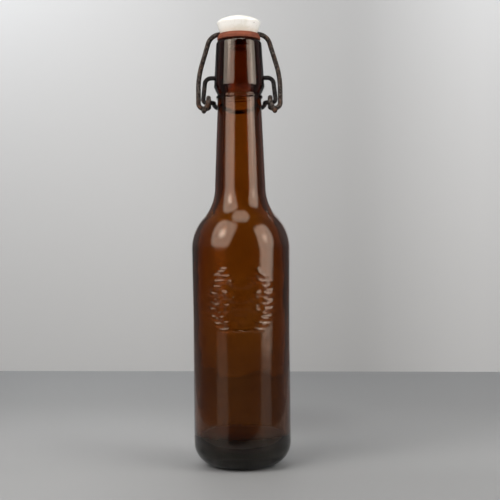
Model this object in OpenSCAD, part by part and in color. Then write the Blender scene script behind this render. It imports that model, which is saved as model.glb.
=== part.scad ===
/* [Glass bottle] */
// Height of the glass, from the bearing ring to the lip
glass_h = 268; // [255:1:280]
// Widest radius, just under the shoulder
shoulder_r = 31; // [30:0.1:32]
// Radius of the straight body
body_r = 30.5; // [30:0.1:30.9]
// Wall thickness of the body
body_wall = 3.2; // [2.5:0.1:4]
// Radius of the neck under the collar
neck_top_r = 14; // [13.8:0.1:14.1]
// Radius of the neck where the shoulder begins
neck_foot_r = 16.1; // [15.5:0.1:16.5]
// Wall thickness of the neck
neck_wall = 3.8; // [3:0.1:4.5]
// Radius of the mouth bore
mouth_r = 8.5; // [8.4:0.1:9]
// Radius of the heel's curve, from the wall down to the flat ring that the bottle stands on
heel_r = 15; // [14:0.1:16]
// Rise of the hollow under the bottle
punt_h = 4.5; // [3:0.1:6]

/* [Collar] */
// Radius of the collar just under the lip
collar_top_r = 14.5; // [14:0.1:15]
// Radius of the collar at its lower edge
collar_foot_r = 16.1; // [15.8:0.1:16.2]
// Radius of the small bead under the collar
bead_r = 14.8; // [14.5:0.1:15]
// Depth of the lever's pivot pockets under the lip
pivot_drop = 23.5; // [22:0.1:25]

/* [Wires] */
// Diameter of the lever wire
lever_d = 2.8; // [2.6:0.1:2.8]
// Diameter of the head bail wire
bail_d = 3; // [2.8:0.1:3]
// Rise of the bail's cross wire, which carries the stopper, over the lip
cross_rise = 4.2; // [4:0.1:4.6]
// Depth of the link between lever and bail under the lip
link_drop = 39.4; // [38.5:0.1:40]
// Angle of the closed lever past its dead centre
over_centre = 8; // [6:0.5:9]
// Side distance of the bail's eyes from the middle
eye_x = 19.4; // [19:0.1:19.5]
// Side distance of the bail's legs at their widest
bail_leg_x = 25.8; // [25.8:0.1:26.2]

/* [Stopper] */
// Radius of the porcelain head at its rim
head_r = 13.8; // [13:0.1:14]
// Radius of the porcelain head at its foot
head_foot_r = 10.9; // [10.7:0.1:11.1]
// Rise of the porcelain dome over the lip
head_rise = 15.8; // [15:0.1:17]
// Radius of the seal's flange
seal_r = 13.6; // [13:0.1:13.8]
// Radius of the seal's plug inside the mouth
plug_r = 6.6; // [6.4:0.1:6.8]

/* [Hidden] */
$fn = 96;

// Clearances: a wire that turns in a hole, the loose eye, and the seal over the lip
running_gap = 0.08;
eye_gap = 0.2;
lip_gap = 0.2;
seal_gap = 0.05;
joint_swell = 0.04;
cut_over = 1;
wire_fn = 32;

// Heights of the closure's two axes and of the link between them
pivot_z = glass_h - pivot_drop;
cross_z = glass_h + cross_rise;
link_z = glass_h - link_drop;

// Shoulder: a concave and a convex arc that meet tangent, and the taper of the neck above them
shoulder_rise = 38.9;
neck_foot_z = glass_h - 92.5;
shoulder_foot_z = neck_foot_z - shoulder_rise;
neck_top_z = glass_h - 42;
concave_r = 29;
shoulder_step = shoulder_r - neck_foot_r;
shoulder_arcs = (shoulder_rise * shoulder_rise + shoulder_step * shoulder_step) / (2 * shoulder_step);
convex_r = shoulder_arcs - concave_r;
shoulder_lean = asin(shoulder_rise / shoulder_arcs);

// Punt: a shallow dome inside the bearing ring, which starts where the heel's curve ends
bearing_in_r = 13.5;
punt_dome_r = (bearing_in_r * bearing_in_r + punt_h * punt_h) / (2 * punt_h);
straight_top_z = 90;
floor_z = 9;
floor_corner_r = 13;

// Collar heights
collar_foot_z = glass_h - 29.1;
collar_round_r = 1.5;
collar_round_start = -40;
collar_lean = 4;
bevel_top_z = collar_foot_z - 1.5;
bevel_step = 0.5;
bevel_top_r = collar_foot_r - bevel_step;
bevel_foot_z = collar_foot_z - 5.1;
neck_waist = 0.1;
bevel_foot_r = neck_top_r - neck_waist;
bead_z = collar_foot_z - 6.7;
bead_h = 2.4;
bead_turn = 80;
lip_round_r = 2.6;
lip_in_round_r = 1.2;
mouth_foot_z = glass_h - 18;

// Pivot pockets
pocket_r = lever_d / 2 + running_gap;
pocket_x = 12.3;
lever_tip_x = 14;

// Lever wire: radii of its bends and the flare of its legs
lever_r = (pivot_z - link_z) / cos(over_centre);
leg_flare = 6;
shoulder_bend_r = 4;
crank_bend_r = 2.2;
arm_bend_r = 1.5;
eye_room_out = 1.2;
eye_room_in = 1.8;
crank_out_x = eye_x + eye_room_out;
crank_in_x = eye_x - eye_room_in;
handle_r = crank_in_x - arm_bend_r;
handle_drop = 10.7;
handle_back_gap = 0.5;
link_y = -lever_r * sin(over_centre);
leg_top_z = -shoulder_bend_r * (1 - sin(leg_flare));
leg_foot_z = -lever_r + crank_bend_r * (1 + sin(leg_flare));
leg_len = (leg_top_z - leg_foot_z) / cos(leg_flare);
leg_foot_x = crank_out_x + crank_bend_r * cos(leg_flare);
pivot_end_x = leg_foot_x - leg_len * sin(leg_flare) - shoulder_bend_r * cos(leg_flare);
arm_drop = handle_drop - over_centre;
arm_len = (handle_back_gap - link_y) / cos(handle_drop) - arm_bend_r;
handle_reach = arm_bend_r + arm_len + handle_r;

// Bail: bow, sloping leg, long curve to upright, then the eye
bail_reach = sqrt(pow(cross_z - link_z, 2) + link_y * link_y);
bail_lean = asin(-link_y / bail_reach);
bow_start_x = 11.5;
bow_r = 8.3;
slope = 16.6;
leg_curve_r = 54;
eye_r = (lever_d + bail_d) / 2 + eye_gap;
foot_bend_r = 3.5;
eye_bend_r = 2;
eye_start = atan2(eye_bend_r, eye_r);
eye_foot = eye_r * cos(eye_start) + eye_bend_r * sin(eye_start);
slope_x = bail_leg_x - leg_curve_r * (1 - cos(slope));
slope_len = (slope_x - bow_start_x - bow_r * cos(slope)) / sin(slope);
slope_drop = bow_r * (1 - sin(slope)) + slope_len * cos(slope) + leg_curve_r * sin(slope);
upright_len = bail_reach + eye_foot - foot_bend_r - slope_drop;
foot_len = bail_leg_x - foot_bend_r - eye_x - eye_bend_r;
tail_lean = 30;
tail_bend_r = 3;
tail_len = 5;

// Seal and stopper heights
flange_z = glass_h + lip_gap;
seat_z = glass_h + 2;
seal_crown_z = glass_h + 4.1;
seal_crown_step = 0.3;
seal_edge_z = glass_h + 2.1;
seal_edge_round = 0.5;
notch_r = 2;
plug_foot_z = glass_h - 4;
plug_lead = 0.4;
stem_r = 3.6;
button_r = 6.2;
button_foot_z = glass_h - 6.2;
button_round_r = 1;
rim_round_r = 1.2;
rim_round_start = -18;
head_rim_z = glass_h + 11;
head_top_z = glass_h + head_rise;
head_dome_r = 26;
hole_r = bail_d / 2 + running_gap;
flare_start_x = 10.2;
flare_end_x = 12.6;
flare_r = 2.3;

// Slope of the porcelain's side, from its foot to the start of the rim's curve
rim_foot_r = head_r - rim_round_r + rim_round_r * cos(rim_round_start);
rim_foot_z = head_rim_z + rim_round_r * sin(rim_round_start);
cone_slope = (rim_foot_r - head_foot_r) / (rim_foot_z - seat_z);
crown_in_r = head_foot_r + seal_gap + cone_slope * (seal_crown_z - seat_z);

// Points of an arc in the profile plane, from angle a0 to a1 about a centre
function arc(cx, cy, r, a0, a1, steps = 12) =
    [for (i = [0 : steps]) let (a = a0 + (a1 - a0) * i / steps) [cx + r * cos(a), cy + r * sin(a)]];

// An outline without the doubled points where two arcs meet
function joined(points) =
    [for (i = [0 : len(points) - 1]) if (i == 0 || norm(points[i] - points[i - 1]) > 0.01) points[i]];

// Inner radius of the neck and the cavity's own shoulder, parallel to the outside
cavity_r = body_r - body_wall;
cavity_neck_r = neck_foot_r - neck_wall;
cavity_step = cavity_r - cavity_neck_r;
cavity_arcs = (shoulder_rise * shoulder_rise + cavity_step * cavity_step) / (2 * cavity_step);
cavity_lean = asin(shoulder_rise / cavity_arcs);
cavity_concave_r = cavity_arcs * concave_r / shoulder_arcs;
cavity_convex_r = cavity_arcs - cavity_concave_r;

// Half section of the glass, anticlockwise: punt and bearing ring, outside up to the lip, inside back down
outside = concat(
    arc(body_r - heel_r, heel_r, heel_r, -90, 0, 18),
    [[body_r, straight_top_z]],
    arc(shoulder_r - convex_r, shoulder_foot_z, convex_r, 0, shoulder_lean, 14),
    arc(neck_foot_r + concave_r, neck_foot_z, concave_r, 180 + shoulder_lean, 180, 14),
    [[neck_top_r, neck_top_z], [neck_top_r, bead_z - bead_h / 2]],
    arc(bead_r - bead_h / 2, bead_z, bead_h / 2, -bead_turn, bead_turn, 8),
    [[bevel_foot_r, bevel_foot_z], [bevel_top_r, bevel_top_z]],
    arc(collar_foot_r - collar_round_r, collar_foot_z, collar_round_r, collar_round_start, 0, 5),
    arc(collar_top_r - lip_round_r, glass_h - lip_round_r, lip_round_r, collar_lean, 90, 10)
);

inside = concat(
    [[mouth_r + lip_in_round_r, glass_h], [mouth_r, glass_h - lip_in_round_r]],
    [[mouth_r, mouth_foot_z], [neck_top_r - neck_wall, neck_top_z]],
    arc(cavity_neck_r + cavity_concave_r, neck_foot_z, cavity_concave_r, 180, 180 + cavity_lean, 14),
    arc(cavity_r - cavity_convex_r, shoulder_foot_z, cavity_convex_r, cavity_lean, 0, 14),
    arc(cavity_r - floor_corner_r, floor_z + floor_corner_r, floor_corner_r, 0, -90, 12),
    [[0, floor_z + punt_h]]
);

punt = arc(0, punt_h - punt_dome_r, punt_dome_r, 90, acos(bearing_in_r / punt_dome_r), 10);

// Blind pockets in the sides of the collar, where the lever's ends turn
module pivot_pockets() {
    for (side = [0, 1]) mirror([side, 0, 0])
        translate([pocket_x, 0, pivot_z]) rotate([0, 90, 0])
            cylinder(r = pocket_r, h = collar_foot_r - pocket_x + cut_over, $fn = wire_fn);
}

module glass_bottle() {
    color([0.42, 0.20, 0.05, 0.75])
    difference() {
        rotate_extrude() polygon(joined(concat(punt, outside, inside)));
        pivot_pockets();
    }
}

// Wire bending: each piece starts at the origin, runs along +Z and carries the next piece at its end.
// A ball a hair wider than the wire closes every joint between a straight piece and a bend.
module joint(d) {
    sphere(d = d + joint_swell, $fn = wire_fn);
    children();
}

module straight(d, len) {
    cylinder(d = d, h = len, $fn = wire_fn);
    translate([0, 0, len]) joint(d) children();
}

// A bend toward local +X, or toward another side with turn
module bend(d, r, angle, turn = 0) {
    rotate([0, 0, turn]) {
        translate([r, 0, 0]) rotate([-90, 180, 0]) rotate_extrude(angle = angle)
            translate([r, 0]) circle(d = d, $fn = wire_fn);
        translate([r, 0, 0]) rotate([0, angle, 0]) translate([-r, 0, 0]) joint(d) children();
    }
}

// From the middle of the cross wire down to the tip of the eye
module bail_half() {
    rotate([0, 90, 0])
    straight(bail_d, bow_start_x) bend(bail_d, bow_r, 90 - slope)
    straight(bail_d, slope_len) bend(bail_d, leg_curve_r, slope)
    straight(bail_d, upright_len) bend(bail_d, foot_bend_r, 90)
    straight(bail_d, foot_len) bend(bail_d, eye_bend_r, 90, 90 - eye_start)
    bend(bail_d, eye_r, 270 - eye_start, -90)
    bend(bail_d, tail_bend_r, tail_lean, 90)
    straight(bail_d, tail_len);
}

module head_bail() {
    color([0.27, 0.23, 0.20])
    translate([0, 0, cross_z]) rotate([-bail_lean, 0, 0])
    for (side = [0, 1]) mirror([side, 0, 0]) bail_half();
}

// From the middle of the handle round the neck, through the crank and up the leg to the pivot
module lever_half() {
    rotate([0, 90, 0])
    bend(lever_d, handle_r, 90, -90)
    straight(lever_d, arm_len) bend(lever_d, arm_bend_r, 90, 180)
    straight(lever_d, crank_out_x - crank_in_x)
    bend(lever_d, crank_bend_r, 90 + leg_flare, 90 + arm_drop)
    straight(lever_d, leg_len) bend(lever_d, shoulder_bend_r, 90 - leg_flare)
    straight(lever_d, pivot_end_x - lever_tip_x);
}

module lever_wire() {
    color([0.20, 0.17, 0.16])
    translate([0, 0, pivot_z]) rotate([-over_centre, 0, 0])
    translate([0, 0, -lever_r]) rotate([-arm_drop, 0, 0]) translate([0, handle_reach, 0])
    for (side = [0, 1]) mirror([side, 0, 0]) lever_half();
}

// Porcelain head with its stem and the button that holds the seal on
module head_profile() {
    dome_z = head_top_z - head_dome_r;
    dome_edge = acos((head_r - rim_round_r) / head_dome_r);
    polygon(concat(
        [[0, button_foot_z], [button_r - button_round_r, button_foot_z]],
        arc(button_r - button_round_r, button_foot_z + button_round_r, button_round_r, -90, 0, 6),
        [[button_r, plug_foot_z], [stem_r, plug_foot_z], [stem_r, seat_z]],
        [[head_foot_r, seat_z]],
        arc(head_r - rim_round_r, head_rim_z, rim_round_r, rim_round_start, dome_edge, 8),
        arc(0, dome_z, head_dome_r, dome_edge, 90, 12)
    ));
}

module porcelain_stopper() {
    color([0.90, 0.88, 0.83])
    difference() {
        rotate_extrude() head_profile();
        translate([-head_r - cut_over, 0, cross_z]) rotate([0, 90, 0])
            cylinder(r = hole_r, h = 2 * (head_r + cut_over), $fn = wire_fn);
        for (side = [0, 1]) mirror([side, 0, 0])
            translate([flare_start_x, 0, cross_z]) rotate([0, 90, 0])
                cylinder(r1 = hole_r, r2 = flare_r, h = flare_end_x - flare_start_x, $fn = wire_fn);
    }
}

// Seal: a plug in the mouth, a flange over the lip, and a raised ring that grips the foot of the porcelain.
// The bail has pressed a notch into the ring on either side.
module seal_profile() {
    polygon(concat(
        [[stem_r, plug_foot_z], [plug_r - plug_lead, plug_foot_z]],
        [[plug_r, plug_foot_z + plug_lead], [plug_r, flange_z]],
        arc(seal_r - seal_edge_round, flange_z + seal_edge_round, seal_edge_round, -90, 0, 6),
        [[seal_r, seal_edge_z], [crown_in_r + seal_crown_step, seal_crown_z], [crown_in_r, seal_crown_z]],
        [[head_foot_r + seal_gap, seat_z], [stem_r, seat_z]]
    ));
}

module rubber_seal() {
    color([0.66, 0.30, 0.18])
    difference() {
        rotate_extrude() seal_profile();
        for (side = [0, 1]) mirror([side, 0, 0])
            translate([stem_r, 0, cross_z]) rotate([0, 90, 0])
                cylinder(r = notch_r, h = seal_r - stem_r + cut_over, $fn = wire_fn);
    }
}

glass_bottle();
porcelain_stopper();
rubber_seal();
head_bail();
lever_wire();
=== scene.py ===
import math

import bpy
from mathutils import Matrix, Vector


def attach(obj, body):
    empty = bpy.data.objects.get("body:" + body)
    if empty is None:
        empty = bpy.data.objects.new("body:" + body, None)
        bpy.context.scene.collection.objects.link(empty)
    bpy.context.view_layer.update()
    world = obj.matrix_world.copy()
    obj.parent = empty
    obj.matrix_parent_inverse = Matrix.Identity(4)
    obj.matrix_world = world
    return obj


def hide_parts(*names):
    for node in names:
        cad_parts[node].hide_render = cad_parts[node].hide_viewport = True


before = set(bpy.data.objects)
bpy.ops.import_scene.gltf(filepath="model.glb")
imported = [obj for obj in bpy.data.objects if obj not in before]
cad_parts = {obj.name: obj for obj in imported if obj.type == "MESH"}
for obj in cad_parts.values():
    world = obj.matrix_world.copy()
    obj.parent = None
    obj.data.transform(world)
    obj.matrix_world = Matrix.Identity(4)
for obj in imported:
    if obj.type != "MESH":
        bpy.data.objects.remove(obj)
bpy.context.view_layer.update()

MM = 0.001

# Sizes of the glass in millimetres, as in the CAD part
GLASS_H = 268
HEEL_R, RING_IN_R, PUNT_H = 15, 13.5, 4.5
FLOOR_Z, FLOOR_EDGE_Z, FLOOR_CORNER_R = 13.5, 22, 13
BODY_R, BODY_WALL = 30.5, 3.2
BODY_TOP_Z = 90              # the body is straight up to here, then widens a little
SHOULDER_R = 30.96           # a hair inside the CAD part's 31
SHOULDER_RISE = 38.9
HOLLOW_SHARE = 29 / 58.205   # the hollow arc's share of the shoulder's two radii
NECK_FOOT_R, NECK_TOP_R, NECK_WALL = 16.1, 14, 3.8
NECK_FOOT_Z, NECK_TOP_Z = GLASS_H - 92.5, GLASS_H - 42
SHOULDER_Z = NECK_FOOT_Z - SHOULDER_RISE
COLLAR_FOOT_R, COLLAR_TOP_R = 16.1, 14.5
COLLAR_FOOT_Z = GLASS_H - 29.1
MOUTH_R, LIP_R = 8.5, 1.2
PIVOT_Z, POCKET_R, POCKET_X = 244.5, 1.48, 12.3

# Sizes of the stopper and its seal
TOP_Z = GLASS_H + 15.8
CROSS_Z, CROSS_HOLE_R = 272.2, 1.58
HEAD_R, HEAD_RIM_R, HEAD_DOME_R = 13.8, 1.2, 26
STEM_R, BUTTON_R = 3.6, 6.2
BUTTON_FOOT_Z, BUTTON_TOP_Z = 261.8, 264
SEAT_Z, SEAT_R = 270, 10.95
SEAL_R, SEAL_EDGE_R, SEAL_PLUG_R = 13.6, 0.5, 6.6

# The raised wreath on the front, and the rows of small faces that carry it
WREATH_R, WREATH_Z, WREATH_H = 18.5, 105, 0.45
FINE_FROM_Z, FINE_TO_Z, FINE_STEP = 81, 128, 0.42


# ---------------------------------------------------------------- hand tools

def put_down():
    """Object mode, with nothing selected."""
    if bpy.context.object and bpy.context.object.mode != "OBJECT":
        bpy.ops.object.mode_set(mode="OBJECT")
    bpy.ops.object.select_all(action="DESELECT")


def pick_up(piece):
    """The piece selected and active, and nothing else selected."""
    put_down()
    piece.select_set(True)
    bpy.context.view_layer.objects.active = piece


def arc(cx, cz, r, start, end, steps):
    """Points of an arc in the section plane."""
    turns = [math.radians(start + (end - start) * i / steps) for i in range(steps + 1)]
    return [(cx + r * math.cos(a), cz + r * math.sin(a)) for a in turns]


def even_steps(points, longest):
    """The same line without doubled points and with no stretch over the longest step."""
    out = [points[0]]
    for x, z in points[1:]:
        x0, z0 = out[-1]
        length = math.hypot(x - x0, z - z0)
        if length < 0.01:
            continue
        n = math.ceil(length / longest)
        out += [(x0 + (x - x0) * i / n, z0 + (z - z0) * i / n) for i in range(1, n + 1)]
    return out


def draw_section(name, points):
    """Half a section, drawn point after point from a primitive pressed to one vertex."""
    put_down()
    bpy.ops.mesh.primitive_plane_add(size=MM, location=(0, 0, 0))
    piece = bpy.context.object
    piece.name = piece.data.name = name
    bpy.ops.object.mode_set(mode="EDIT")
    bpy.ops.mesh.merge(type="CENTER")
    x, z = points[0]
    bpy.ops.transform.translate(value=(x * MM, 0, z * MM))
    for (x0, z0), (x1, z1) in zip(points, points[1:]):
        step = ((x1 - x0) * MM, 0, (z1 - z0) * MM)
        bpy.ops.mesh.extrude_vertices_move(TRANSFORM_OT_translate={"value": step})
    return piece


def turn_section(stretches):
    """Spins the section once round, in stretches of (degrees, steps), and closes seam and poles."""
    bpy.ops.mesh.select_all(action="SELECT")
    for degrees, steps in stretches:
        bpy.ops.mesh.spin(
            steps=steps, angle=math.radians(degrees), center=(0, 0, 0), axis=(0, 0, 1))
    bpy.ops.mesh.select_all(action="SELECT")
    bpy.ops.mesh.remove_doubles(threshold=2e-6)
    bpy.ops.mesh.normals_make_consistent(inside=False)
    bpy.ops.object.mode_set(mode="OBJECT")


def finish_with(piece, kind, **settings):
    """Adds one modifier with its settings and applies it."""
    pick_up(piece)
    bpy.ops.object.modifier_add(type=kind)
    modifier = piece.modifiers[-1]
    for key, value in settings.items():
        setattr(modifier, key, value)
    bpy.ops.object.modifier_apply(modifier=modifier.name)


def smooth(piece, angle):
    """Smooth shading, with hard edges where faces meet at more than the angle."""
    pick_up(piece)
    bpy.ops.object.shade_smooth_by_angle(angle=math.radians(angle))


def cut_with(piece, cutter):
    """Cuts the cutter's shape out of the piece and throws the cutter away."""
    finish_with(piece, "BOOLEAN", operation="DIFFERENCE", solver="EXACT", object=cutter)
    put_down()
    bpy.data.objects.remove(cutter)


def rod_along_x(r, x0, x1, z):
    """A round cutter along X."""
    put_down()
    bpy.ops.mesh.primitive_cylinder_add(
        vertices=32, radius=r * MM, depth=abs(x1 - x0) * MM,
        location=((x0 + x1) / 2 * MM, 0, z * MM), rotation=(0, math.pi / 2, 0))
    return bpy.context.object


# ------------------------------------------------------- shared material parts

def node_at(tree, kind, **settings):
    """A new node with its inputs and properties set by name."""
    made = tree.nodes.new(kind)
    for key, value in settings.items():
        if key in made.inputs:
            made.inputs[key].default_value = value
        else:
            setattr(made, key, value)
    return made


def new_mask_group(name, **numbers):
    """A node group that takes a place and some numbers and puts out a mask."""
    group = bpy.data.node_groups.new(name, "ShaderNodeTree")
    group.interface.new_socket("Vector", in_out="INPUT", socket_type="NodeSocketVector")
    for label, value in numbers.items():
        socket = group.interface.new_socket(label, in_out="INPUT", socket_type="NodeSocketFloat")
        socket.default_value = value
    group.interface.new_socket("Mask", in_out="OUTPUT", socket_type="NodeSocketFloat")
    return group, group.nodes.new("NodeGroupInput"), group.nodes.new("NodeGroupOutput")


def make_blotches():
    """Soft uneven patches: a mask from a noise, cut between two levels."""
    group, inside, out = new_mask_group("blotches", Scale=100.0, Detail=4.0, Low=0.45, High=0.65)
    link = group.links.new
    noise = node_at(group, "ShaderNodeTexNoise", Roughness=0.6)
    cut = node_at(group, "ShaderNodeMapRange", interpolation_type="SMOOTHSTEP")
    for label in ("Vector", "Scale", "Detail"):
        link(inside.outputs[label], noise.inputs[label])
    link(noise.outputs["Fac"], cut.inputs["Value"])
    link(inside.outputs["Low"], cut.inputs["From Min"])
    link(inside.outputs["High"], cut.inputs["From Max"])
    link(cut.outputs["Result"], out.inputs["Mask"])
    return group


def make_specks():
    """Small round specks, scattered: a mask that is 1 in the specks."""
    group, inside, out = new_mask_group("specks", Scale=300.0, Size=0.2, Share=0.3)
    link = group.links.new
    cells = node_at(group, "ShaderNodeTexVoronoi", feature="F1")
    near = node_at(group, "ShaderNodeMath", operation="LESS_THAN")
    pick = node_at(group, "ShaderNodeSeparateColor")
    chosen = node_at(group, "ShaderNodeMath", operation="LESS_THAN")
    both = node_at(group, "ShaderNodeMath", operation="MULTIPLY")
    link(inside.outputs["Vector"], cells.inputs["Vector"])
    link(inside.outputs["Scale"], cells.inputs["Scale"])
    link(cells.outputs["Distance"], near.inputs[0])
    link(inside.outputs["Size"], near.inputs[1])
    link(cells.outputs["Color"], pick.inputs["Color"])
    link(pick.outputs["Red"], chosen.inputs[0])
    link(inside.outputs["Share"], chosen.inputs[1])
    link(near.outputs["Value"], both.inputs[0])
    link(chosen.outputs["Value"], both.inputs[1])
    link(both.outputs["Value"], out.inputs["Mask"])
    return group


def make_cracks():
    """Thin branching lines between cells, broken up by a noise."""
    group, inside, out = new_mask_group("cracks", Scale=200.0, Width=0.04, Wander=0.002)
    link = group.links.new
    drift = node_at(group, "ShaderNodeTexNoise", Scale=160.0, Detail=3.0)
    scaled = node_at(group, "ShaderNodeVectorMath", operation="SCALE")
    moved = node_at(group, "ShaderNodeVectorMath", operation="ADD")
    cells = node_at(group, "ShaderNodeTexVoronoi", feature="DISTANCE_TO_EDGE")
    line = node_at(group, "ShaderNodeMapRange", interpolation_type="SMOOTHSTEP")
    line.inputs["To Min"].default_value = 1
    line.inputs["To Max"].default_value = 0
    link(inside.outputs["Vector"], drift.inputs["Vector"])
    link(drift.outputs["Color"], scaled.inputs[0])
    link(inside.outputs["Wander"], scaled.inputs["Scale"])
    link(inside.outputs["Vector"], moved.inputs[0])
    link(scaled.outputs["Vector"], moved.inputs[1])
    link(moved.outputs["Vector"], cells.inputs["Vector"])
    link(inside.outputs["Scale"], cells.inputs["Scale"])
    link(cells.outputs["Distance"], line.inputs["Value"])
    link(inside.outputs["Width"], line.inputs["From Max"])
    link(line.outputs["Result"], out.inputs["Mask"])
    return group


BLOTCHES, SPECKS, CRACKS = make_blotches(), make_specks(), make_cracks()


def effect(tree, group, place, **settings):
    """The mask that a shared group gives at a place."""
    made = tree.nodes.new("ShaderNodeGroup")
    made.node_tree = group
    for key, value in settings.items():
        made.inputs[key].default_value = value
    tree.links.new(place, made.inputs["Vector"])
    return made.outputs["Mask"]


def noise_at(tree, place, scale, detail):
    noise = node_at(tree, "ShaderNodeTexNoise", Scale=scale, Detail=detail)
    tree.links.new(place, noise.inputs["Vector"])
    return noise.outputs["Fac"]


def axes_of(tree, place):
    """The three numbers of a place, by the names X, Y and Z."""
    parts = tree.nodes.new("ShaderNodeSeparateXYZ")
    tree.links.new(place, parts.inputs[0])
    return parts.outputs


def start_material(name):
    material = bpy.data.materials.new(name)
    material.use_nodes = True
    tree = material.node_tree
    shader = tree.nodes["Principled BSDF"]
    place = tree.nodes.new("ShaderNodeTexCoord").outputs["Object"]
    return material, tree, shader, place


def mix_colour(tree, factor, first, second):
    """Mixes two colours, each a socket or a plain colour, by a mask socket."""
    mix = node_at(tree, "ShaderNodeMix", data_type="RGBA")
    tree.links.new(factor, mix.inputs[0])
    for value, socket in ((first, mix.inputs[6]), (second, mix.inputs[7])):
        if isinstance(value, tuple):
            socket.default_value = (*value, 1)
        else:
            tree.links.new(value, socket)
    return mix.outputs[2]


def bump(tree, height, strength, distance, under=None):
    """A normal raised by a height socket, over the normal of the relief under it."""
    made = node_at(tree, "ShaderNodeBump", Strength=strength, Distance=distance)
    tree.links.new(height, made.inputs["Height"])
    if under is not None:
        tree.links.new(under, made.inputs["Normal"])
    return made.outputs["Normal"]


def level(tree, value, low, high, to_low=0.0, to_high=1.0):
    """Goes softly from one number to another while a value goes from low to high."""
    made = node_at(tree, "ShaderNodeMapRange", interpolation_type="SMOOTHSTEP")
    ends = {"From Min": low, "From Max": high, "To Min": to_low, "To Max": to_high}
    for label, number in ends.items():
        made.inputs[label].default_value = number
    tree.links.new(value, made.inputs["Value"])
    return made.outputs["Result"]


def maths(tree, operation, first, second=0):
    """The result of a sum whose terms are sockets or numbers."""
    made = node_at(tree, "ShaderNodeMath", operation=operation)
    for i, value in enumerate((first, second)):
        if isinstance(value, (int, float)):
            made.inputs[i].default_value = value
        else:
            tree.links.new(value, made.inputs[i])
    return made.outputs["Value"]


def distance(tree, across, along):
    """How far off a point is, from its two distances."""
    squares = [maths(tree, "POWER", part, 2) for part in (across, along)]
    return maths(tree, "SQRT", maths(tree, "ADD", *squares))


# ------------------------------------------------------------------ materials

def amber_glass():
    """Amber glass coloured by its depth, with haze and painted shade low inside, dark on its floor.
    """
    material, tree, shader, place = start_material("amber bottle glass")
    shader.inputs["Transmission Weight"].default_value = 1
    shader.inputs["IOR"].default_value = 1.5
    shader.inputs["Specular Tint"].default_value = (1, 0.92, 0.82, 1)
    axes = axes_of(tree, place)
    inner_reach, under_floor, dark_floor_z, clear_z = 28.4 * MM, 8 * MM, 19 * MM, 125 * MM
    inner_face = maths(tree, "LESS_THAN", distance(tree, axes["X"], axes["Y"]), inner_reach)
    # the inner floor and its rounded corner are made dark and rougher, fading out between 19 and 23
    # mm up
    low = maths(tree, "MULTIPLY", level(tree, axes["Z"], dark_floor_z, 23 * MM, 1, 0),
                maths(tree, "GREATER_THAN", axes["Z"], under_floor))
    dark_floor = maths(tree, "MULTIPLY", inner_face, low)
    # a grey haze inside, and painted shade: the glass darkens towards the bottom, standing in for
    # the shadowed table seen through it
    haze_and_shade = maths(tree, "MULTIPLY", inner_face,
                 level(tree, axes["Z"], 40 * MM, clear_z, 0.55, 0))
    hazed_and_shaded = mix_colour(tree, haze_and_shade, (0.93, 0.80, 0.62), (0.30, 0.25, 0.27))
    tree.links.new(mix_colour(tree, dark_floor, hazed_and_shaded, (0.16, 0.12, 0.10)),
                   shader.inputs["Base Color"])
    scuffs = effect(tree, BLOTCHES, place, Scale=90, Detail=6, Low=0.5, High=0.78)
    rough = maths(tree, "ADD", level(tree, scuffs, 0, 1, 0.015, 0.09),
                  maths(tree, "MULTIPLY", dark_floor, 0.3))
    tree.links.new(rough, shader.inputs["Roughness"])
    waves = bump(tree, noise_at(tree, place, 55, 2), 0.12, 0.0012)
    seeds = effect(tree, SPECKS, place, Scale=240, Size=0.14, Share=0.05)
    tree.links.new(bump(tree, seeds, 0.5, 0.0002, waves), shader.inputs["Normal"])
    depth = tree.nodes.new("ShaderNodeVolumeAbsorption")
    depth.inputs["Color"].default_value = (0.71, 0.483, 0.022, 1)
    depth.inputs["Density"].default_value = 700
    tree.links.new(depth.outputs["Volume"], tree.nodes["Material Output"].inputs["Volume"])
    return material


def glazed_porcelain():
    """White glaze with pale stains, fine crazing, specks of soot, darker and browner just above the
    seal.
    """
    material, tree, shader, place = start_material("glazed porcelain")
    stain = effect(tree, BLOTCHES, place, Scale=110, Detail=5, Low=0.46, High=0.66)
    soot = effect(tree, SPECKS, place, Scale=420, Size=0.16, Share=0.06)
    craze = effect(tree, CRACKS, place, Scale=230, Width=0.02, Wander=0.003)
    # darker and browner towards the seal, fading out by 277 mm
    near_seal = level(tree, axes_of(tree, place)["Z"], 271.5 * MM, 277 * MM, 0.6, 0)
    colour = mix_colour(
        tree, level(tree, stain, 0, 1, 0, 0.5), (0.99, 1, 0.99), (0.82, 0.82, 0.74))
    for mask, over in ((level(tree, craze, 0, 1, 0, 0.18), (0.30, 0.24, 0.19)),
                       (level(tree, soot, 0, 1, 0, 0.6), (0.16, 0.12, 0.10)),
                       (near_seal, (0.66, 0.56, 0.45))):
        colour = mix_colour(tree, mask, colour, over)
    tree.links.new(colour, shader.inputs["Base Color"])
    shader.inputs["Roughness"].default_value = 0.22
    shader.inputs["Coat Weight"].default_value = 0.4
    shader.inputs["Coat Roughness"].default_value = 0.08
    ripple = noise_at(tree, place, 120, 2)
    tree.links.new(bump(tree, ripple, 0.2, 0.0006), shader.inputs["Normal"])
    return material


def old_rubber():
    """Faded red rubber with dark cracks and a fine grain."""
    material, tree, shader, place = start_material("old red rubber")
    fade = effect(tree, BLOTCHES, place, Scale=160, Detail=6, Low=0.4, High=0.7)
    crack = effect(tree, CRACKS, place, Scale=420, Width=0.06, Wander=0.004)
    colour = mix_colour(tree, fade, (0.18, 0.035, 0.012), (0.26, 0.070, 0.030))
    colour = mix_colour(tree, level(tree, crack, 0, 1, 0, 0.6), colour, (0.07, 0.02, 0.012))
    tree.links.new(colour, shader.inputs["Base Color"])
    shader.inputs["Roughness"].default_value = 0.72
    grain = bump(tree, noise_at(tree, place, 900, 4), 0.4, 0.0003)
    hollow = level(tree, crack, 0, 1, 1, 0)
    tree.links.new(bump(tree, hollow, 0.7, 0.0004, grain), shader.inputs["Normal"])
    return material


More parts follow.
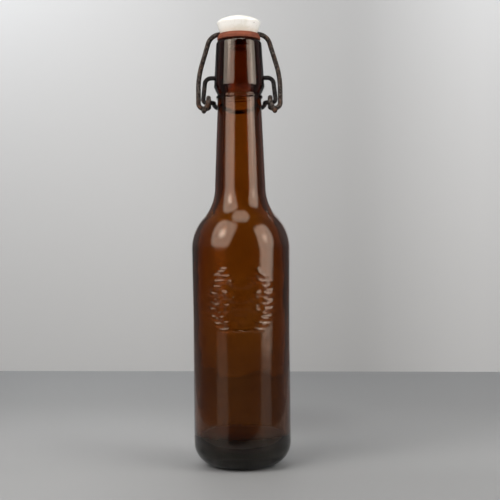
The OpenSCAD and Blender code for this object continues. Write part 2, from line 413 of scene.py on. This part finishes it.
def rusty_wire(name, dark, light, share):
    """Pitted steel between two greys, with rust where a noise is over the share."""
    material, tree, shader, place = start_material(name)
    rust = effect(tree, BLOTCHES, place, Scale=210, Detail=8, Low=share, High=share + 0.22)
    pits = effect(tree, BLOTCHES, place, Scale=700, Detail=5, Low=0.42, High=0.62)
    brown = mix_colour(tree, pits, (0.026, 0.013, 0.009), (0.13, 0.055, 0.027))
    steel = mix_colour(tree, pits, dark, light)
    tree.links.new(mix_colour(tree, rust, steel, brown), shader.inputs["Base Color"])
    tree.links.new(level(tree, rust, 0, 1, 0.75, 0.1), shader.inputs["Metallic"])
    tree.links.new(level(tree, rust, 0, 1, 0.48, 0.85), shader.inputs["Roughness"])
    pitted = bump(tree, pits, 0.8, 0.0004)
    tree.links.new(bump(tree, rust, 0.6, 0.0005, pitted), shader.inputs["Normal"])
    return material


# --------------------------------------------------------------------- pieces

def shoulder_arcs(low_r, high_r):
    """Radii of the hollow arc and of the crown arc between two walls, and the angle of both."""
    step = low_r - high_r
    both = (SHOULDER_RISE * SHOULDER_RISE + step * step) / (2 * step)
    lean = math.degrees(math.asin(SHOULDER_RISE / both))
    return both * HOLLOW_SHARE, both * (1 - HOLLOW_SHARE), lean


def glass_section():
    """Half section of the glass: punt, outside, lip, then down the inside to the floor."""
    dome_r = (RING_IN_R ** 2 + PUNT_H ** 2) / (2 * PUNT_H)
    punt = arc(0, PUNT_H - dome_r, dome_r, 90, math.degrees(math.acos(RING_IN_R / dome_r)), 12)
    hollow, crown, lean = shoulder_arcs(SHOULDER_R, NECK_FOOT_R)
    widening = (SHOULDER_R - BODY_R) * (FINE_TO_Z - BODY_TOP_Z) / (SHOULDER_Z - BODY_TOP_Z)
    bead_z, groove_z = COLLAR_FOOT_Z - 6.7, COLLAR_FOOT_Z - 5.1
    bead_r, groove_r, foot_edge_r, top_edge_r = 1.2, 0.3, 1.5, 2.6
    outside = (
        arc(BODY_R - HEEL_R, HEEL_R, HEEL_R, -90, 0, 24)
        + even_steps([(BODY_R, FINE_FROM_Z), (BODY_R, BODY_TOP_Z),
                      (BODY_R + widening, FINE_TO_Z)], FINE_STEP)
        + arc(SHOULDER_R - crown, SHOULDER_Z, crown, 0, lean, 20)
        + arc(NECK_FOOT_R + hollow, NECK_FOOT_Z, hollow, 180 + lean, 180, 20)
        + [(NECK_TOP_R, NECK_TOP_Z), (NECK_TOP_R, bead_z - bead_r)]
        + arc(NECK_TOP_R - 0.4, bead_z, bead_r, -80, 80, 10)
        + arc(NECK_TOP_R - 0.1 + groove_r, groove_z, groove_r, 180, 120, 3)
        + [(COLLAR_FOOT_R - 0.5, COLLAR_FOOT_Z - 1.5)]
        + arc(COLLAR_FOOT_R - foot_edge_r, COLLAR_FOOT_Z, foot_edge_r, -40, 0, 8)
        + arc(COLLAR_TOP_R - top_edge_r, GLASS_H - top_edge_r, top_edge_r, 4, 90, 14))
    cavity_r, cavity_neck_r = BODY_R - BODY_WALL, NECK_FOOT_R - NECK_WALL
    hollow, crown, lean = shoulder_arcs(cavity_r, cavity_neck_r)
    inside = (
        arc(MOUTH_R + LIP_R, GLASS_H - LIP_R, LIP_R, 90, 180, 6)
        + [(MOUTH_R, GLASS_H - 9), (MOUTH_R + 0.8, GLASS_H - 15),
           (NECK_TOP_R - NECK_WALL, NECK_TOP_Z)]
        + arc(cavity_neck_r + hollow, NECK_FOOT_Z, hollow, 180, 180 + lean, 20)
        + arc(cavity_r - crown, SHOULDER_Z, crown, lean, 0, 20)
        + arc(cavity_r - FLOOR_CORNER_R, FLOOR_EDGE_Z, FLOOR_CORNER_R, 0, -90, 16)
        + [(0, FLOOR_Z)])
    return even_steps(punt + outside + inside, 2.6)


def ear_of_barley(side):
    """Marks of an ear: grains in pairs up an arc, then the stem.

    A mark is an oval: its place across and up, its lean, its half length and half width.
    """
    grain, stem = (2.7, 1.1), (3.2, 0.45)
    marks = []
    for turn in range(-62, 60, 15):
        a = math.radians(turn)
        for edge in (-1, 1):
            r = WREATH_R + 1.8 * edge
            marks.append((r * math.cos(a), r * math.sin(a), a + math.pi / 2 - edge * 0.45, *grain))
    for turn in (-76, -92, -108):
        a = math.radians(turn)
        marks.append((WREATH_R * math.cos(a), WREATH_R * math.sin(a), a + math.pi / 2, *stem))
    return [(side * x, z, lean if side > 0 else math.pi - lean, a, b)
            for x, z, lean, a, b in marks]


def hop_cone():
    """Marks of a hop: its scales row under row, leaves on both sides, a tip and a stalk."""
    rows = ((6.0, (0,)), (3.0, (-1.9, 1.9)), (0, (-3.4, 0, 3.4)), (-3.6, (-1.9, 1.9)),
            (-6.6, (0,)))
    upright = math.pi / 2
    marks = [(x, z, upright - x * 0.12, 2.2, 1.35) for z, places in rows for x in places]
    for side in (-1, 1):
        marks += [(side * 3.6, 9.8, upright - side * 0.9, 3.6, 1.3),
                  (side * 8.6, 3.5, upright - side * 0.4, 2.4, 1.1),
                  (side * 8.2, -4.5, upright + side * 0.5, 2.4, 1.1)]
    return marks + [(0, -11.5, upright, 1.9, 0.7), (0, 12.5, upright, 2.6, 0.6)]


def mark_height(mark, across, up):
    """Height of a mark at a place: 1 on its top, 0 outside, with a soft edge between."""
    x, z, lean, half_length, half_width = mark
    dx, dz = across - x, up - z
    farthest, outer_edge, edge_width = 4, 1.4, 0.6
    if abs(dx) >= farthest or abs(dz) >= farthest:
        return 0
    c, s = math.cos(lean), math.sin(lean)
    far = math.hypot((dx * c + dz * s) / half_length, (dz * c - dx * s) / half_width)
    rise = min(1, max(0, (outer_edge - far) / edge_width))
    return rise * rise * (3 - 2 * rise)


def raise_wreath(piece):
    """Raises a wreath of barley round a hop on the front, nowhere past the shoulder."""
    front_y, half_height = -20, 23
    raised = piece.vertex_groups.new(name="wreath")
    marks = ear_of_barley(-1) + ear_of_barley(1) + hop_cone()
    for v in piece.data.vertices:
        x, y, z = v.co / MM
        r, up = math.hypot(x, y), z - WREATH_Z
        if y > front_y or abs(up) > half_height or r < BODY_R - 0.1:
            continue
        across = math.atan2(x, -y) * BODY_R
        room = ((SHOULDER_R - 0.01) * r / -y - r) / WREATH_H
        height = max(mark_height(mark, across, up) for mark in marks)
        if height > 0:
            raised.add([v.index], min(height, room), "REPLACE")
    finish_with(piece, "DISPLACE", vertex_group="wreath", strength=WREATH_H * MM, mid_level=0)


def ripple_inner_wall(piece):
    """The inner wall was shaped by air, so it isn't quite even."""
    foot_z, head_z, fade = 0.009, 0.245, 0.02
    inner = piece.vertex_groups.new(name="inner wall")
    for v in piece.data.vertices:
        if v.normal.x * v.co.x + v.normal.y * v.co.y < 0 and foot_z < v.co.z < head_z:
            inner.add([v.index], min(1, (head_z - v.co.z) / fade), "REPLACE")
    waves = bpy.data.textures.new("blown wall", "CLOUDS")
    waves.noise_scale = 26 * MM
    waves.noise_depth = 2
    finish_with(piece, "DISPLACE", texture=waves, texture_coords="LOCAL",
                vertex_group="inner wall", strength=0.9 * MM)


def make_bottle():
    piece = draw_section("bottle_glass", glass_section())
    # small steps across the front, where the wreath is, and longer ones elsewhere
    turn_section([(224, 66), (92, 120), (44, 14)])
    raise_wreath(piece)
    ripple_inner_wall(piece)
    for side in (-1, 1):
        cut_with(piece, rod_along_x(POCKET_R, side * POCKET_X, side * 18, PIVOT_Z))
    smooth(piece, 45)
    return piece


def make_stopper_head():
    """Button, stem and head in one: a round section with a hole for the cross wire."""
    rim_x, rim_z, button_edge_r = HEAD_R - HEAD_RIM_R, 279, 1
    edge = math.degrees(math.acos(rim_x / HEAD_DOME_R))
    button_x = BUTTON_R - button_edge_r
    section = ([(0, BUTTON_FOOT_Z), (button_x, BUTTON_FOOT_Z)]
               + arc(button_x, BUTTON_FOOT_Z + button_edge_r, button_edge_r, -90, 0, 6)
               + [(BUTTON_R, BUTTON_TOP_Z), (STEM_R, BUTTON_TOP_Z), (STEM_R, SEAT_Z),
                  (10.6, SEAT_Z)]
               + arc(10.75, SEAT_Z + 0.3, 0.3, -60, 0, 3)
               + arc(rim_x, rim_z, HEAD_RIM_R, -18, edge, 10)
               + arc(0, TOP_Z - HEAD_DOME_R, HEAD_DOME_R, edge, 90, 16))
    piece = draw_section("stopper_head", even_steps(section, 1.0))
    turn_section([(360, 96)])
    cut_with(piece, rod_along_x(CROSS_HOLE_R, -15, 15, CROSS_Z))
    smooth(piece, 40)
    return piece


def make_seal():
    """Plug, flange and a low crown round the head's foot, notched where the wire comes out."""
    flange_z, crown_z, flank_slope = 268.2, 271.6, 0.3292
    crown_r = SEAT_R + flank_slope * 2.1
    section = ([(STEM_R, BUTTON_TOP_Z), (BUTTON_R, BUTTON_TOP_Z),
                (SEAL_PLUG_R, BUTTON_TOP_Z + 0.4), (SEAL_PLUG_R, flange_z)]
               + arc(SEAL_R - SEAL_EDGE_R, flange_z + SEAL_EDGE_R, SEAL_EDGE_R, -90, 0, 6)
               + [(SEAL_R, SEAT_Z)]
               + arc(crown_r + SEAL_EDGE_R, crown_z, SEAL_EDGE_R, 40, 180, 6)
               + [(SEAT_R, SEAT_Z), (STEM_R, SEAT_Z), (STEM_R, BUTTON_TOP_Z)])
    piece = draw_section("seal_ring", even_steps(section, 0.5))
    turn_section([(360, 144)])
    for side in (-1, 1):
        cut_with(piece, rod_along_x(2, side * 4, side * 16, CROSS_Z))
    smooth(piece, 40)
    return piece


# -------------------------------------------------------------- stage and light

def painted_light_greys(tree, axes, tint, stops):
    """A tinted grey that changes softly from left to right over a sheet: painted light and shade.
    """
    ramp = tree.nodes.new("ShaderNodeValToRGB")
    bar = ramp.color_ramp
    bar.interpolation = "B_SPLINE"
    while len(bar.elements) < len(stops):
        bar.elements.new(0.5)
    for element, (place, grey) in zip(bar.elements, stops):
        element.position = place
        element.color = (*(grey * part for part in tint), 1)
    tree.links.new(maths(tree, "ADD", axes["X"], 0.5), ramp.inputs["Fac"])
    return ramp.outputs["Color"]


def shade_behind(tree, axes, colour):
    """The same colour, painted a little lighter beside the bottle and with a painted shadow behind
    it.
    """
    beside = level(tree, axes["Y"], -0.36, -0.23, 1, 1.12)
    behind = level(tree, axes["Y"], -0.22, 0.16, 1, 0.8)
    off = distance(tree, maths(tree, "SUBTRACT", axes["X"], 0.05),
                   maths(tree, "MULTIPLY", maths(tree, "ADD", axes["Y"], 0.03), 0.7))
    share = maths(tree, "MULTIPLY", beside, behind)
    share = maths(tree, "MULTIPLY", share, level(tree, off, 0.01, 0.13, 0.76, 1))
    shaded = node_at(tree, "ShaderNodeVectorMath", operation="SCALE")
    tree.links.new(colour, shaded.inputs[0])
    tree.links.new(share, shaded.inputs["Scale"])
    return shaded.outputs["Vector"]


def table_finish():
    material, tree, shader, place = start_material("pale table")
    axes = axes_of(tree, place)
    # painted light and shade: the table's grey dips to the right of the bottle
    greys = painted_light_greys(tree, axes, (0.99, 1.05, 1.125),
                       [(0.0, 0.34), (0.38, 0.33), (0.62, 0.225), (0.95, 0.35)])
    tree.links.new(shade_behind(tree, axes, greys), shader.inputs["Base Color"])
    shader.inputs["Roughness"].default_value = 0.6
    return material


def wall_finish():
    material, tree, shader, place = start_material("pale wall")
    # painted light and shade: the wall is painted lighter at both sides and darker right of the
    # middle
    greys = painted_light_greys(tree, axes_of(tree, place), (1, 1.04, 1.09),
                       [(0.0, 0.64), (0.26, 0.62), (0.40, 0.61), (0.66, 0.465),
                        (0.75, 0.515), (0.90, 0.72)])
    tree.links.new(greys, shader.inputs["Base Color"])
    shader.inputs["Roughness"].default_value = 0.8
    return material


def make_stage():
    """A table that narrows to the front, and a wall beyond its back edge.

    The table is turned a little, so that its back edge runs level across the view.
    """
    put_down()
    bpy.ops.mesh.primitive_plane_add(
        size=1, location=(0, 0.1875, 0), rotation=(0, 0, math.radians(-5.6)))
    table = bpy.context.object
    table.name = "table_top"
    table.scale = (0.66, 0.625, 1)
    bpy.ops.object.mode_set(mode="EDIT")
    bpy.ops.mesh.select_all(action="DESELECT")
    bpy.ops.object.mode_set(mode="OBJECT")
    for v in table.data.vertices:
        v.select = v.co.y < 0
    bpy.ops.object.mode_set(mode="EDIT")
    bpy.ops.transform.resize(value=(0.5, 1, 1), center_override=(0, 0, 0))
    bpy.ops.object.mode_set(mode="OBJECT")
    table.data.materials.append(table_finish())
    put_down()
    bpy.ops.mesh.primitive_plane_add(
        size=1, location=(0.01, 0.80, 0.3), rotation=(math.pi / 2, 0, 0))
    wall = bpy.context.object
    wall.name = "back_wall"
    wall.scale = (0.75, 1.6, 1)
    wall.data.materials.append(wall_finish())


def soft_light(name, place, towards, width, height, power, core=1, tint=(1, 1, 1)):
    """A soft light that faces a point, with a bright middle and a rim that fades."""
    place, towards = Vector(place), Vector(towards)
    put_down()
    bpy.ops.object.light_add(type="AREA", location=place)
    lamp = bpy.context.object
    lamp.name = name
    lamp.rotation_mode = "QUATERNION"
    lamp.rotation_quaternion = (place - towards).to_track_quat("Z", "Y")
    light = lamp.data
    light.shape = "RECTANGLE"
    light.size, light.size_y = width, height
    light.energy = power
    light.color = tint
    light.use_nodes = True
    tree = light.node_tree
    glow = tree.nodes["Emission"]
    over = tree.nodes.new("ShaderNodeNewGeometry")
    centre = node_at(tree, "ShaderNodeVectorMath", operation="SUBTRACT")
    centre.inputs[1].default_value = (0.5, 0.5, 0)
    tree.links.new(over.outputs["Parametric"], centre.inputs[0])
    reach = node_at(tree, "ShaderNodeVectorMath", operation="LENGTH")
    tree.links.new(centre.outputs["Vector"], reach.inputs[0])
    axes = axes_of(tree, centre.outputs["Vector"])
    fourth = [maths(tree, "POWER", maths(tree, "ABSOLUTE", axes[k]), 4) for k in "XY"]
    rim = maths(tree, "POWER", maths(tree, "ADD", *fourth), 0.25)
    strength = maths(tree, "MULTIPLY", level(tree, reach.outputs["Value"], 0, 0.2, core, 1),
                     level(tree, rim, 0.34, 0.52, 1, 0))
    tree.links.new(strength, glow.inputs["Strength"])


MIDDLE = Vector((0, 0, 0.16))


def round_bottle(azimuth, elevation, away):
    """A place round the bottle's middle, by angles from the side that the camera is on."""
    a, e = math.radians(azimuth), math.radians(elevation)
    side = Vector((math.sin(a) * math.cos(e), -math.cos(a) * math.cos(e), math.sin(e)))
    return MIDDLE + side * away


def make_lights():
    """Two softboxes, a top light, lights on the wall, faint low lights and a dim room."""
    warm = (1, 0.93, 0.85)
    soft_light("left_softbox", round_bottle(-49, 33, 0.75), MIDDLE, 0.82, 1.06, 9.3, 3.6, warm)
    soft_light("right_softbox", round_bottle(62, 20, 0.75), MIDDLE, 0.64, 0.98, 7.3, 2.3, warm)
    soft_light("top_softbox", round_bottle(0, 88, 0.80), MIDDLE, 0.50, 0.75, 3.2, 2.2, warm)
    soft_light("wall_light_left", (-0.46, 0.45, 0.80), (-0.36, 0.8, 0.60), 0.3, 0.3, 3.0)
    soft_light("wall_light_right", (0.46, 0.45, 0.74), (0.36, 0.8, 0.50), 0.3, 0.3, 1.25)
    soft_light("low_light_left", (-0.54, -0.52, -0.10), (0, 0, 0.05), 0.42, 0.34, 0.16)
    soft_light("low_light_right", (0.64, -0.40, -0.10), (0, 0, 0.05), 0.42, 0.34, 0.18)
    make_room()


def make_room():
    """A dim world: some light from both sides, most of it high up, from behind and from below."""
    world = bpy.data.worlds.new("studio")
    bpy.context.scene.world = world
    world.use_nodes = True
    tree = world.node_tree
    axes = axes_of(tree, tree.nodes.new("ShaderNodeTexCoord").outputs["Generated"])
    sides = level(tree, maths(tree, "ABSOLUTE", axes["X"]), 0.35, 0.75, 0.02, 1)
    sides = maths(tree, "MULTIPLY", sides, level(tree, axes["Z"], -0.05, 0.15, 0.04, 0.14))
    behind = level(tree, axes["Y"], 0.1, 0.6, 0, 0.1)
    below = level(tree, axes["Z"], -0.17, -0.03, 0.1, 0)
    strength = maths(tree, "ADD", sides, maths(tree, "ADD", behind, below))
    room = tree.nodes["Background"]
    tree.links.new(strength, room.inputs["Strength"])
    room.inputs["Color"].default_value = (0.95, 0.97, 1, 1)


def make_camera():
    """A long lens in front of the bottle at half its height, rolled by half a degree."""
    put_down()
    bpy.ops.object.camera_add()
    camera = bpy.context.object
    camera.name = "camera"
    camera.data.lens = 74.6
    camera.data.sensor_width = 36
    camera.data.dof.use_dof = False
    place, roll = (0.0058, -0.656, 0.1356), math.radians(-0.55)
    camera.matrix_world = (
        Matrix.Translation(place) @ Matrix.Rotation(math.radians(90), 4, "X")
        @ Matrix.Rotation(roll, 4, "Z"))
    bpy.context.scene.camera = camera
    bpy.context.scene.view_settings.view_transform = "Standard"


# ------------------------------------------------------------------- assembly

def dress(piece, material):
    """Gives the piece one material, in place of any that it has."""
    piece.data.materials.clear()
    piece.data.materials.append(material)


bottle = make_bottle()
dress(bottle, amber_glass())
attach(bottle, "bottle")
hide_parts("glass_bottle")

head = make_stopper_head()
dress(head, glazed_porcelain())
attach(head, "stopper")
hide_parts("porcelain_stopper")

seal = make_seal()
dress(seal, old_rubber())
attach(seal, "stopper")
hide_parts("rubber_seal")

bail_finish = rusty_wire("rusty bail wire", (0.022, 0.018, 0.017), (0.11, 0.096, 0.088), 0.46)
# the lever's wire is painted darker than the bail's: painted shade, where the lever sits in shadow
shaded_lever_finish = rusty_wire("rusty lever wire in painted shade", (0.012, 0.011, 0.012), (0.036, 0.034, 0.034), 0.55)
# both wires are the CAD part's own, with a better finish
dress(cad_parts["head_bail"], bail_finish)
dress(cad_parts["lever_wire"], shaded_lever_finish)

make_stage()
make_lights()
make_camera()

put_down()
bpy.context.view_layer.update()
